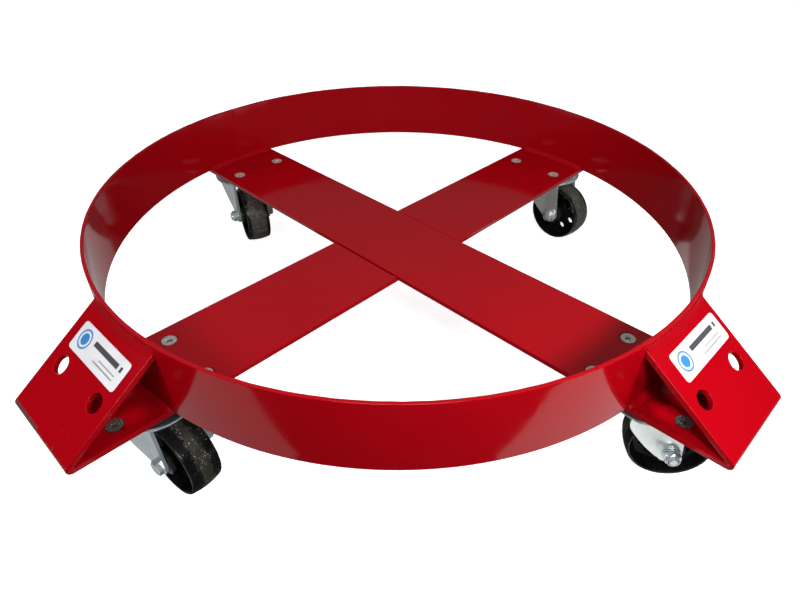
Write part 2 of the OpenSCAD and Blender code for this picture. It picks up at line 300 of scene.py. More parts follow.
# ------------------------------------------------------------------ shader kit
class G:
    """Short forms for a node tree."""

    def __init__(self, name):
        self.mat = bpy.data.materials.new(name)
        self.mat.use_nodes = True
        self.nt = self.mat.node_tree
        self.nt.nodes.clear()
        self.out = self.nt.nodes.new("ShaderNodeOutputMaterial")
        self.bsdf = self.nt.nodes.new("ShaderNodeBsdfPrincipled")
        self.nt.links.new(self.bsdf.outputs[0], self.out.inputs[0])

    def node(self, kind, **props):
        n = self.nt.nodes.new(kind)
        for k, v in props.items():
            setattr(n, k, v)
        return n

    def put(self, sock, v):
        if v is None:
            return
        if isinstance(v, bpy.types.NodeSocket):
            self.nt.links.new(v, sock)
        elif isinstance(v, (tuple, list)) and len(v) == 3 and len(sock.default_value) == 4:
            sock.default_value = (*v, 1.0)
        else:
            sock.default_value = v

    def m(self, op, a, b=None, c=None, clamp=False):
        n = self.node("ShaderNodeMath", operation=op, use_clamp=clamp)
        for i, v in enumerate((a, b, c)):
            self.put(n.inputs[i], v)
        return n.outputs[0]

    def add(self, a, b): return self.m("ADD", a, b)
    def sub(self, a, b): return self.m("SUBTRACT", a, b)
    def mul(self, a, b): return self.m("MULTIPLY", a, b)
    def mx(self, a, b): return self.m("MAXIMUM", a, b)
    def mn(self, a, b): return self.m("MINIMUM", a, b)

    def v(self, op, a, b=None, scale=None):
        n = self.node("ShaderNodeVectorMath", operation=op)
        self.put(n.inputs[0], a)
        if b is not None:
            self.put(n.inputs[1], b)
        if scale is not None:
            self.put(n.inputs["Scale"], scale)
        return n.outputs["Value"] if op in ("LENGTH", "DOT_PRODUCT", "DISTANCE") else n.outputs[0]

    def obj(self):
        return self.node("ShaderNodeTexCoord").outputs["Object"]

    def attr(self, name, out="Vector"):
        return self.node("ShaderNodeAttribute", attribute_name=name).outputs[out]

    def sep(self, v):
        n = self.node("ShaderNodeSeparateXYZ")
        self.put(n.inputs[0], v)
        return n.outputs[0], n.outputs[1], n.outputs[2]

    def com(self, x, y, z):
        n = self.node("ShaderNodeCombineXYZ")
        for i, v in enumerate((x, y, z)):
            self.put(n.inputs[i], v)
        return n.outputs[0]

    def noise(self, vec, scale, detail=3, rough=0.5, dist=0.0, out=0):
        n = self.node("ShaderNodeTexNoise")
        self.put(n.inputs["Vector"], vec)
        self.put(n.inputs["Scale"], scale)
        self.put(n.inputs["Detail"], detail)
        self.put(n.inputs["Roughness"], rough)
        self.put(n.inputs["Distortion"], dist)
        return n.outputs[out]

    def voro(self, vec, scale, feature="F1", rand=1.0, out="Distance"):
        n = self.node("ShaderNodeTexVoronoi", feature=feature)
        self.put(n.inputs["Vector"], vec)
        self.put(n.inputs["Scale"], scale)
        self.put(n.inputs["Randomness"], rand)
        return n.outputs[out]

    def ramp(self, v, a, b, lo=0.0, hi=1.0, kind="SMOOTHSTEP"):
        n = self.node("ShaderNodeMapRange", interpolation_type=kind)
        n.clamp = True
        for i, x in enumerate((v, a, b, lo, hi)):
            self.put(n.inputs[i], x)
        return n.outputs[0]

    def mix(self, f, a, b):
        n = self.node("ShaderNodeMix", data_type="RGBA")
        self.put(n.inputs[0], f)
        self.put(n.inputs[6], a)
        self.put(n.inputs[7], b)
        return n.outputs[2]

    def mixf(self, f, a, b):
        n = self.node("ShaderNodeMix", data_type="FLOAT")
        self.put(n.inputs[0], f)
        self.put(n.inputs[2], a)
        self.put(n.inputs[3], b)
        return n.outputs[0]

    def bump(self, h, strength, dist, normal=None):
        n = self.node("ShaderNodeBump")
        self.put(n.inputs["Height"], h)
        self.put(n.inputs["Strength"], strength)
        self.put(n.inputs["Distance"], dist)
        if normal is not None:
            self.put(n.inputs["Normal"], normal)
        return n.outputs[0]

    def set(self, **kw):
        names = {"color": "Base Color", "rough": "Roughness", "metal": "Metallic", "normal": "Normal", "coat": "Coat Weight",
                 "coat_rough": "Coat Roughness", "ior": "IOR", "spec": "Specular IOR Level", "aniso": "Anisotropic", "coat_ior": "Coat IOR"}
        for k, v in kw.items():
            self.put(self.bsdf.inputs[names[k]], v)
        return self.mat


def smoothband(g, v, lo, hi, soft):
    """1 between lo and hi, soft at both ends."""
    return g.mul(g.ramp(v, lo - soft, lo + soft), g.ramp(v, hi + soft, hi - soft))


RED = (0.30, 0.0006, 0.0040)
RED_DARK = (0.235, 0.0005, 0.0030)
PRIMER = (0.035, 0.030, 0.030)
STEEL = (0.16, 0.155, 0.15)


def red_paint(name, kind):
    """Gloss enamel: orange peel, small inclusions, worn folds, thin rough film on the cut edges. kind: bar_x, bar_y, ring, weld."""
    g = G(name)
    p = g.obj()
    x, y, z = g.sep(p)
    tone = g.noise(p, 7, 2, 0.5)
    fine = g.noise(p, 60, 3, 0.6)
    col = g.mix(g.ramp(tone, 0.35, 0.7, 0, 0.22), RED, RED_DARK)
    col = g.mix(g.ramp(fine, 0.45, 0.75, 0, 0.12), col, (0.36, 0.0012, 0.0055))
    # inclusions and dust in the film
    dust = g.voro(p, 150)
    pick = g.noise(p, 38, 2, 0.5)
    speck = g.mul(g.ramp(dust, 0.085, 0.045), g.ramp(pick, 0.60, 0.66))
    peel = g.noise(p, 330, 2, 0.45)
    wave = g.noise(p, 34, 2, 0.5)
    wear = None
    if kind in ("bar_x", "bar_y"):
        r = g.m("ABSOLUTE", x if kind == "bar_x" else y)
        across = g.m("ABSOLUTE", y if kind == "bar_x" else x)
        low = g.ramp(z, DZ + 0.010, DZ - 0.001)
        fold = g.mul(g.ramp(r, TIP - 0.0034, TIP - 0.0006), low)
        side = g.ramp(across, HW - 0.0016, HW - 0.0002)
        n1 = g.noise(p, 90, 4, 0.65)
        n2 = g.noise(p, 420, 3, 0.6)
        chips = g.ramp(g.add(g.mul(n1, 0.75), g.mul(n2, 0.35)), 0.68, 0.74)
        if kind == "bar_y":
            # the front-left fold is the most worn, above all at its outer corner
            front = g.ramp(y, 0.0, -0.2)
            corner = g.ramp(x, 0.010, -0.042)
            amount = g.add(0.08, g.mul(front, g.add(0.22, g.mul(corner, 0.60))))
        else:
            amount = 0.10
        foldwear = g.mul(fold, g.ramp(g.add(n1, g.mul(amount, 0.55)), 0.70, 0.78))
        wear = g.mx(foldwear, g.mul(side, g.mul(chips, 0.55)))
    elif kind == "ring":
        rim = g.ramp(z, RIM - 0.0012, RIM - 0.0002)
        n1 = g.noise(p, 120, 4, 0.65)
        wear = g.mul(rim, g.ramp(n1, 0.64, 0.74, 0, 0.4))
    else:
        n1 = g.noise(p, 160, 4, 0.65)
        wear = g.ramp(n1, 0.70, 0.76, 0, 0.35)
    bare = g.mix(g.noise(p, 300, 3, 0.6), PRIMER, STEEL)
    col = g.mix(wear, col, bare)
    col = g.mix(g.mul(speck, 0.35), col, (0.55, 0.10, 0.10))
    rough = g.mixf(g.ramp(g.noise(p, 22, 3, 0.55), 0.35, 0.7), 0.075, 0.12)
    rough = g.mixf(wear, rough, 0.52)
    h = g.add(g.mul(peel, 0.00005), g.add(g.mul(wave, 0.00010), g.mul(speck, 0.00020)))
    h = g.sub(h, g.mul(wear, 0.00010))
    if kind == "weld":
        h = g.add(h, g.mul(g.noise(p, 240, 3, 0.6), 0.00016))
        rough = g.add(rough, 0.14)
    nrm = g.bump(h, 0.55, 1.0)
    return g.set(color=col, rough=rough, normal=nrm, metal=g.mul(wear, 0.6), ior=1.45, spec=0.16 if kind == "weld" else 0.42)


def zinc(name, tint=(0.76, 0.82, 0.88), base_rough=0.20, grain=1.0, crown_shade=0.0):
    """The last argument sets how dark the top of the fork crown is painted: painted shade and a painted dark
    reflection, for the shadow under the plate and the bar's underside it mirrors.
    """
    g = G(name)
    p = g.attr("lc")
    a = g.noise(p, 55, 4, 0.6)
    b = g.noise(g.v("MULTIPLY", p, (260, 260, 900)), 1, 3, 0.6)
    c = g.noise(p, 700, 2, 0.5)
    col = g.mix(g.ramp(a, 0.35, 0.7), tint, tuple(v * 0.88 for v in tint))
    col = g.mix(g.ramp(g.noise(p, 130, 3, 0.6), 0.55, 0.72, 0, 0.45), col, (tint[0] * 0.80, tint[1] * 0.84, tint[2] * 0.90))
    spot = g.mul(g.ramp(g.voro(p, 210), 0.13, 0.07), g.ramp(g.noise(p, 60, 2), 0.58, 0.66))
    col = g.mix(g.mul(spot, 0.8), col, (0.10, 0.09, 0.08))
    rough = g.mixf(a, base_rough, base_rough + 0.12)
    if crown_shade:
        # painted shade: the top face of the crown darkened to near black, in place of the shadow under the plate and
        # the dark reflection of the bar
        up = g.ramp(g.sep(p)[2], BZ - 0.0135 - 0.0012, BZ - 0.0135 - 0.0004)
        col = g.mix(g.mul(up, crown_shade), col, (0.020, 0.020, 0.018))
    h = g.add(g.mul(b, 0.00001 * grain), g.add(g.mul(c, 0.000008 * grain), g.mul(a, 0.00008)))
    return g.set(color=col, rough=rough, metal=0.70, normal=g.bump(h, 0.6, 1.0))


def black_wheel(name, half=0.005, dusty=0.5, tone=(0.066, 0.060, 0.045), flecks=1.0):
    """Black enamel on rim and web; a scuffed strip round the tread, half wide each way, with bright grit pressed in. lc: y is along the axle."""
    g = G(name)
    p = g.attr("lc")
    x, y, z = g.sep(p)
    r = g.m("SQRT", g.add(g.mul(x, x), g.mul(z, z)))
    ang = g.m("ARCTAN2", z, x)
    roll = g.com(g.mul(ang, 0.038), y, r)
    tread = g.ramp(r, WR - 0.0021, WR - 0.0014)
    wid = g.m("ABSOLUTE", y)
    band = g.ramp(g.add(wid, g.mul(g.sub(g.noise(roll, 95, 4, 0.7), 0.5), 0.014)), half + 0.003, half - 0.002)
    band = g.mul(tread, band)
    dust1 = g.ramp(g.noise(roll, 700, 4, 0.72), 0.46, 0.62)
    dust2 = g.ramp(g.noise(roll, 150, 4, 0.65), 0.38, 0.65)
    dirt = g.mul(band, g.mul(g.add(g.mul(dusty, 0.55), g.mul(dust1, g.add(0.15, dust2))), 0.8))
    speck = g.mul(band, g.mul(g.ramp(g.voro(roll, 520), 0.34, 0.20), g.ramp(g.noise(roll, 170, 2), 0.47, 0.57)))
    stray = g.mul(tread, g.mul(g.ramp(g.voro(roll, 430), 0.22, 0.12), g.ramp(g.noise(roll, 110, 2), 0.54, 0.62)))
    chip = g.mul(tread, g.mul(g.ramp(g.voro(roll, 260), 0.16, 0.09), g.ramp(g.noise(roll, 70, 2), 0.58, 0.64)))
    lip = g.ramp(wid, 0.0140, 0.0148)
    edge = g.mul(lip, g.ramp(g.noise(roll, 300, 3, 0.6), 0.42, 0.62, 0.15, 0.7))
    col = g.mix(g.ramp(g.noise(p, 80, 3), 0.4, 0.7), (0.0035, 0.0035, 0.0036), (0.0075, 0.0075, 0.0068))
    col = g.mix(dirt, col, tone)
    col = g.mix(g.mul(g.mx(speck, stray), 0.8 * flecks), col, (0.50, 0.47, 0.38))
    col = g.mix(g.mul(chip, flecks), col, (0.55, 0.56, 0.52))
    col = g.mix(g.mul(edge, 0.6), col, (0.060, 0.058, 0.054))
    rough = g.mixf(g.ramp(g.noise(p, 140, 3), 0.35, 0.7), 0.16, 0.26)
    rough = g.mixf(g.mx(dirt, g.mul(speck, 0.8)), rough, 0.72)
    rough = g.mixf(chip, rough, 0.30)
    h = g.add(g.mul(g.noise(p, 420, 3, 0.6), 0.00005), g.mul(g.mul(g.noise(roll, 800, 3, 0.65), tread), 0.00010))
    h = g.sub(h, g.mul(chip, 0.0002))
    return g.set(color=col, rough=rough, metal=g.mul(chip, 0.8), normal=g.bump(h, 0.7, 1.0), spec=g.ramp(r, WR - 0.0045, WR - 0.0025, 0.10, 0.36))


def screw_metal(name):
    """Zinc screw heads, dull grey, with painted shade: the cross recess darkened with depth, a dark red ring round the
    rim of the head for the gap at the countersink, and darker heads out in the pockets. lc: z is 0 on top of the head.
    """
    g = G(name)
    p = g.attr("lc")
    x, y, z = g.sep(p)
    r = g.m("SQRT", g.add(g.mul(x, x), g.mul(y, y)))
    deep = g.ramp(z, -0.0006, -0.0016)
    a = g.noise(g.obj(), 260, 4, 0.65)
    b = g.noise(g.obj(), 900, 3, 0.6)
    col = g.mix(g.ramp(a, 0.35, 0.7), (0.82, 0.81, 0.74), (0.50, 0.49, 0.44))
    # painted shade: heads out in the pockets near the ring, over 0.3 m from the centre, made darker and browner for the
    # shadow of the pocket walls
    far = g.ramp(g.v("LENGTH", g.v("MULTIPLY", g.obj(), (1, 1, 0))), 0.295, 0.310)
    col = g.mix(g.mul(far, g.ramp(b, 0.62, 0.50, 0.35, 0.92)), col, (0.085, 0.055, 0.050))
    # painted shade: a dark red ring round the rim of the head, for the dark gap between head and countersink
    col = g.mix(g.mul(g.ramp(r, 0.0063, 0.0071), 0.9), col, (0.030, 0.008, 0.008))
    # painted shade: the cross recess darkened with depth, where shade falls
    col = g.mix(g.mul(deep, 0.85), col, (0.020, 0.014, 0.013))
    rough = g.mixf(g.ramp(b, 0.3, 0.7), 0.30, 0.48)
    rough = g.mixf(deep, rough, 0.7)
    return g.set(color=col, rough=rough, metal=g.mixf(deep, 0.62, 0.1), normal=g.bump(g.add(g.mul(a, 0.00008), g.mul(b, 0.00003)), 0.6, 1.0))


def plain_metal(name, c, rough=0.33):
    g = G(name)
    p = g.obj()
    a = g.noise(p, 220, 4, 0.6)
    col = g.mix(g.ramp(a, 0.35, 0.7), c, tuple(v * 0.7 for v in c))
    return g.set(color=col, rough=g.mixf(a, rough - 0.08, rough + 0.12), metal=0.95, normal=g.bump(g.noise(p, 800, 3), 0.25, 0.0001))


def nylon(name):
    g = G(name)
    p = g.attr("lc")
    a = g.noise(p, 400, 3, 0.6)
    return g.set(color=g.mix(a, (0.030, 0.036, 0.040), (0.018, 0.022, 0.026)), rough=g.mixf(a, 0.40, 0.55), normal=g.bump(a, 0.3, 0.0001))


def label_film(name):
    """White film with a plain round mark and grey bars in place of any wording. lc: x along the label, y across, z up from the sheet."""
    g = G(name)
    p = g.attr("lc")
    x, y, z = g.sep(p)

    def rect(x0, x1, y0, y1, soft=0.00012):
        return g.mul(smoothband(g, x, x0, x1, soft), smoothband(g, y, y0, y1, soft))

    d = g.m("SQRT", g.add(g.m("POWER", g.add(x, 0.0252), 2), g.m("POWER", g.sub(y, 0.0006), 2)))
    ringm = smoothband(g, d, 0.0068, 0.0084, 0.00010)
    disc = g.ramp(d, 0.0050, 0.0048)
    mark = g.mx(ringm, disc)
    white = g.mix(g.ramp(g.noise(g.obj(), 50, 4, 0.6), 0.35, 0.75), (0.66, 0.66, 0.68), (0.58, 0.58, 0.60))
    col = g.mix(mark, white, (0.035, 0.18, 0.44))
    bars = g.mx(rect(-0.0120, 0.0260, 0.0018, 0.0062), rect(0.0290, 0.0320, 0.0018, 0.0062))
    col = g.mix(g.mul(bars, 0.93), col, (0.012, 0.012, 0.018))
    thin = g.mx(rect(0.0040, 0.0290, -0.0036, -0.0026), rect(-0.0020, 0.0290, -0.0072, -0.0060))
    col = g.mix(g.mul(thin, 0.75), col, (0.10, 0.09, 0.10))
    col = g.mix(g.mul(g.ramp(g.noise(g.obj(), 170, 4, 0.7), 0.60, 0.74), 0.16), col, (0.40, 0.34, 0.33))
    h = g.add(g.mul(g.noise(g.obj(), 260, 2), 0.00004), g.mul(g.noise(g.obj(), 50, 2), 0.00012))
    return g.set(color=col, rough=g.mixf(g.noise(g.obj(), 30, 2), 0.30, 0.42), normal=g.bump(h, 0.4, 1.0), coat=0.2, coat_rough=0.2)


M_BARX = red_paint("red_bar_x", "bar_x")
M_BARY = red_paint("red_bar_y", "bar_y")
M_RING = red_paint("red_ring", "ring")
M_WELD = red_paint("red_weld", "weld")
# one and the same plating on all four forks: the dimmer grey tints of the rear forks are painted shade, the bright
# bluish and greenish tints of the front ones are painted light and reflection, and the front forks' crown tops get
# painted shade
M_ZINC = {"fl": zinc("zinc_fork_fl", (0.84, 0.94, 1.0), 0.14, crown_shade=0.93), "fr": zinc("zinc_fork_fr", (0.93, 0.99, 0.97), 0.14, crown_shade=0.85),
          "rl": zinc("zinc_fork_rl", (0.58, 0.67, 0.66), 0.16), "rr": zinc("zinc_fork_rr", (0.74, 0.76, 0.73), 0.16)}
M_PLATE = zinc("zinc_plate", (0.66, 0.70, 0.72), 0.20)
M_BOLT = zinc("zinc_bolt", (0.80, 0.86, 0.88), 0.10, 0.6)
M_WHEEL = {"fl": black_wheel("black_wheel_fl"), "fr": black_wheel("black_wheel_fr", 0.0050, 0.25, flecks=0.6),
           "rl": black_wheel("black_wheel_rl", 0.0105, 0.85, (0.100, 0.090, 0.080), 0.8),
           "rr": black_wheel("black_wheel_rr", 0.0105, 0.85, (0.120, 0.112, 0.092), 0.6)}
M_SCREW = screw_metal("screw_zinc")
M_STEEL = plain_metal("plain_steel", (0.42, 0.42, 0.43))
M_BRONZE = plain_metal("bronze", (0.50, 0.33, 0.14), 0.36)
M_NYLON = nylon("nylon_insert")
M_LABEL = label_film("label_film")


# ------------------------------------------------------------------ cross bars
def fold_profile(start):
    """Half section of a bar in (r, z), from its inner end round the fold and back up to the ring."""
    xo = RI - 0.008
    zo = slope_z(xo)
    pts = [(start, DZ), (start, BZ)]
    pts += arc(CORNER, DZ, BT, -90, 90 - math.degrees(SLOPE), 18)
    pts += [(xo, zo), (xo - BT * NX, zo - BT * NZ)]
    # small inner radius of the fold
    rr = 0.0007
    d = rr / math.tan(SLOPE / 2)
    a0 = (CORNER - d, DZ)
    cx, cz = CORNER - d, DZ + rr
    pts += [(cx + rr * math.sin(t), cz - rr * math.cos(t)) for t in np.linspace(math.pi - SLOPE, 0, 7)]
    return pts


def end_cutters(deg):
    cut = []
    hs = 0.0565
    hr = RI + hs * math.cos(SLOPE) - 0.001
    for sgn in (-1, 1):
        c = revolve("cut", [(0, -0.012), (0.008, -0.012), (0.008, 0.012), (0, 0.012)], 56, False)
        m = Matrix.Translation((hr, sgn * 0.0295, slope_z(hr))) @ Matrix.Rotation(SLOPE, 4, "Y")
        cut.append(move(c, rotz(deg) @ m))
    for sx in (-1, 1):
        for sy in (-1, 1):
            c = revolve("cut", [(0, BZ - 0.002), (0.0042, BZ - 0.002), (0.0042, DZ - 0.0037), (0.0085, DZ + 0.0006), (0, DZ + 0.0006)], 48, False)
            cut.append(move(c, rotz(deg) @ Matrix.Translation((0.303 + sx * 0.040, sy * 0.030, 0))))
    return cut


def trim():
    return revolve("cut", [(0, DZ + 0.02), (RO, DZ + 0.02), (RO, DZ + 0.12), (0, DZ + 0.12)], 256, False)


half = fold_profile(0.0)[2:]                       # without the two inner end points
prof = half + [(-x, z) for x, z in reversed(half)]
cross = prism("crossbar_sheet", prof, -HW, HW, "Y")
boolean(cross, [trim()] + end_cutters(0) + end_cutters(180))
tidy(cross)
bevel(cross, 0.00055, 3, 30)
smooth(cross, 38)
out(cross, "frame", M_BARX, "red_paint", "crossbar")

for k in ("fl", "rr"):
    a = prism("arm_" + LONG[k] + "_sheet", fold_profile(HW + 0.0002), -HW, HW, "Y")
    move(a, rotz(ARMS[k]))
    g0 = 0.0026 if k == "fl" else 0.0011
    c = prism("cut", [(HW - 0.002, DZ + 0.002), (HW - 0.002, DZ - g0 - 0.002), (HW + g0 + 0.002, DZ + 0.002)], -HW - 0.01, HW + 0.01, "Y")
    move(c, rotz(ARMS[k]))
    boolean(a, [trim(), c] + end_cutters(ARMS[k]))
    tidy(a)
    bevel(a, 0.00055, 3, 30)
    smooth(a, 38)
    out(a, "frame", M_BARY, "red_paint", {"fl": "arm_front_left", "rr": "arm_rear_right"}[k])


# ------------------------------------------------------------------ ring
def ring_mesh():
    n = 432
    e = 0.0009
    prof = [(RI, DZ)]
    for z in np.linspace(DZ + 0.004, RIM - 0.004, 9):
        prof.append((RI, z))
    prof += [(RI + e - e * math.cos(t), RIM - e + e * math.sin(t)) for t in np.linspace(0, math.pi / 2, 5)]
    prof += [(RO - e + e * math.sin(t), RIM - e + e * math.cos(t)) for t in np.linspace(0, math.pi / 2, 5)]
    for z in np.linspace(RIM - 0.004, DZ + 0.004, 9):
        prof.append((RO, z))
    prof.append((RO, DZ))
    ob = revolve("ring_band", prof, n)
    co = np.array([v.co for v in ob.data.vertices])
    r = np.hypot(co[:, 0], co[:, 1])
    th = np.arctan2(co[:, 1], co[:, 0])
    u = np.stack([np.cos(th), np.sin(th), co[:, 2] * 2], 1)
    top = np.clip((co[:, 2] - (RIM - 0.003)) / 0.003, 0, 1)
    dr = 0.00022 * vnoise(u, 2.2, 3) + 0.00010 * vnoise(u, 7, 4) + top * 0.00016 * vnoise(u, 55, 5)
    dz = top * (0.00018 * vnoise(u, 40, 6) + 0.00025 * vnoise(u, 4, 7) - 0.0002)
    # the band is a touch flatter where its two ends meet, at the rear-left arm
    dr -= 0.0005 * np.exp(-((np.abs(th) - math.pi) / 0.05) ** 2)
    k = (r + dr) / r
    co[:, 0] *= k
    co[:, 1] *= k
    co[:, 2] += dz
    ob.data.vertices.foreach_set("co", co.ravel())
    ob.data.update()
    return smooth(ob, 50)


out(ring_mesh(), "frame", M_RING, "red_paint", "ring")


# ------------------------------------------------------------------ weld beads
def bead(name, path, n, cross_pts, seed, amp=0.0004, freq=260, ripple=0.0, pitch=0.0022, ends=0.006):
    """Closed bead along a path. path(s) gives (origin, e1, e2) for s in 0..1; cross_pts(s) a loop of (a, b) in e1, e2 and how far each point may move."""
    verts, rows = [], []
    S = np.linspace(0, 1, n)
    o0, _, _, L = path(0.0)
    for s in S:
        o, e1, e2, _ = path(s)
        pts = cross_pts(s)
        row = []
        d = min(s, 1 - s) * L
        taper = 1 - 0.65 * max(0.0, 1 - d / ends) ** 2
        for a, b, free in pts:
            row.append(len(verts))
            verts.append((np.array(o) + np.array(e1) * a * taper + np.array(e2) * b * taper, free * taper, s * L, np.array(e1) * 0.7 + np.array(e2) * 0.7))
        rows.append(row)
    P = np.array([v[0] for v in verts])
    F = np.array([v[1] for v in verts])
    SL = np.array([v[2] for v in verts])
    D = np.array([v[3] for v in verts])
    w = amp * (0.6 * vnoise(P, freq, seed) + 0.5 * vnoise(P, freq * 0.35, seed + 1) + 0.25 * vnoise(P, freq * 2.3, seed + 2))
    if ripple:
        w = w + ripple * np.abs(np.sin(math.pi * (SL + 0.0006 * vnoise(P, 300, seed + 3)) / pitch))
    P = P + D * (w * F)[:, None]
    m = len(rows[0])
    faces = []
    for i in range(n - 1):
        for j in range(m):
            faces.append([rows[i][j], rows[i][(j + 1) % m], rows[i + 1][(j + 1) % m], rows[i + 1][j]])
    faces.append(list(reversed(rows[0])))
    faces.append(rows[-1])
    return outward(make(name, P, faces))


def fillet(h, w, under=0.0012, n=9, fat=0.5):
    """Loop of a fillet: up the wall by h along e2, out on the sheet by w along e1."""
    def f(s):
        pts = [(-under, -under, 0), (-under * 0.7, h, 0.0), (0, h, 0.25)]
        for t in np.linspace(0.06, 0.94, n):
            cx, cy = w * (1 - fat) * 0.30 + w * 0.5 * fat * 0.9, h * (1 - fat) * 0.30 + h * 0.5 * fat * 0.9
            a = 2 * t * (1 - t) * cx + t * t * w
            b = (1 - t) * (1 - t) * h + 2 * t * (1 - t) * cy
            pts.append((a, b, math.sin(math.pi * t) ** 0.5))
        pts += [(w, 0, 0.25), (w, -under * 0.7, 0.0)]
        return pts
    return f


def ring_path(deg, half_len, r, sign):
    """Along the foot of the ring on one arm: e1 away from the wall, e2 up."""
    def f(s):
        a = math.radians(deg) + (s * 2 - 1) * math.asin(half_len / r)
        c, q = math.cos(a), math.sin(a)
        return (r * c, r * q, DZ), (sign * c, sign * q, 0), (0, 0, 1), 2 * half_len
    return f


beads = []
for i, k in enumerate(ARMS):
    beads.append(bead("w", ring_path(ARMS[k], HW - 0.001, RI, -1), 150, fillet(0.0042, 0.0046, fat=0.75), 10 + i, 0.0007, 190, 0.00022, 0.0026))
    beads.append(bead("w", ring_path(ARMS[k], HW - 0.001, RO, 1), 150, fillet(0.0040, 0.0046, fat=0.75), 20 + i, 0.0008, 190, 0.00022, 0.0026))
wr = joined("ring_weld_beads", beads)
smooth(wr, 60, False)
out(wr, "frame", M_WELD, "red_paint", "ring_welds")


def bracket_path(deg, half_len):
    """Along the top of a sloped sheet, where it meets the ring: e1 down the slope, e2 up the ring."""
    m = rotz(deg).to_3x3()
    def f(s):
        y = (s * 2 - 1) * half_len
        x = math.sqrt(RO * RO - y * y)
        o = m @ Vector((x, y, slope_z(x)))
        e1 = m @ Vector((math.cos(SLOPE), 0, -math.sin(SLOPE)))
        e2 = m @ Vector((x / RO * 0.10, y / RO * 0.10, 1))
        return tuple(o), tuple(e1), tuple(e2), 2 * half_len
    return f


def bracket_section(seed):
    def f(s):
        q = np.array([[s * 40.0, seed, 0.0]])
        h = 0.0042 + 0.0006 * float(vnoise(q, 0.35, seed)[0]) + 0.0003 * float(vnoise(q, 1.0, seed + 3)[0])
        w = 0.0054 + 0.0009 * float(vnoise(q, 0.30, seed + 5)[0]) + 0.0005 * float(vnoise(q, 0.9, seed + 6)[0])
        return fillet(h, w, 0.0010, 12, 0.45)(s)
    return f


beads = [bead("w", bracket_path(ARMS[k], HW - 0.0006), 130, bracket_section(41 + 7 * i), 31 + i, 0.00045, 110, 0.0, ends=0.004) for i, k in enumerate(ARMS)]
wb = joined("bracket_weld_beads", beads)
smooth(wb, 60, False)
out(wb, "frame", M_WELD, "red_paint", "bracket_welds")


def joint_bead(k, seed):
    g0 = 0.0026 if k == "fl" else 0.0011
    m = rotz(ARMS[k]).to_3x3()
    fill = 0.45 if k == "fl" else 0.95
    def path(s):
        y = (s * 2 - 1) * (HW - 0.0015)
        return tuple(m @ Vector((HW + 0.0002, y, DZ - g0 - 0.0006))), tuple(m @ Vector((1, 0, 0))), (0, 0, 1), 2 * HW
    def sec(s):
        w = g0 * fill
        # a lump of weld at the outer end of the front joint
        lump = 0.0016 * math.exp(-((s - 0.965) / 0.025) ** 2) if k == "fl" else 0.0
        t = g0 * fill + 0.0006 + lump
        gap = 0.0007 if k == "fl" and s < 0.93 else 0.0
        return [(gap, 0.0, 0), (gap, t * 0.55, 0.4), (w * 0.45 + gap, t * 0.85, 1), (w + 0.0004, t, 0.6), (w + 0.0012 + lump * 0.5, t * 0.9, 0.2), (w * 0.5, 0.0, 0)]
    return bead("w", path, 120, sec, seed, 0.00018, 300, 0.0001, 0.002, 0.003)


jw = joined("joint_weld_beads", [joint_bead("fl", 61), joint_bead("rr", 64)])
smooth(jw, 60, False)
out(jw, "frame", M_WELD, "red_paint", "joint_welds")


# butt weld of the band, on its inside
def seam():
    n, hz = 90, (RIM - DZ)
    verts, faces, rows = [], [], []
    for i in range(n):
        z = DZ + 0.0045 + (hz - 0.0065) * i / (n - 1)
        rows.append([])
        for t in np.linspace(-1, 1, 9):
            y = 0.0024 * t
            lift = 0.00055 * (1 - t * t) - 0.00012
            q = np.array([[0.0, y, z]])
            lift += 0.00022 * float(vnoise(q, 420, 71)[0]) * (1 - abs(t)) + 0.00012 * abs(math.sin(math.pi * z / 0.0024)) * (1 - t * t)
            rows[-1].append(len(verts))
            verts.append((-(math.sqrt((RI - 0.0004) ** 2 - y * y) - lift), y + 0.0012 * float(vnoise(np.array([[0, 0, z]]), 45, 72)[0]), z))
        for t in np.linspace(1, -1, 3):
            rows[-1].append(len(verts))
            verts.append((-(RI + 0.0012), 0.0023 * t, z))
    m = len(rows[0])
    for i in range(n - 1):
        for j in range(m):
            faces.append([rows[i][j], rows[i][(j + 1) % m], rows[i + 1][(j + 1) % m], rows[i + 1][j]])
    faces += [list(reversed(rows[0])), rows[-1]]
    return outward(make("band_seam", verts, faces))


sm = seam()
smooth(sm, 60, False)
out(sm, "frame", M_WELD, "red_paint", "ring_seam")


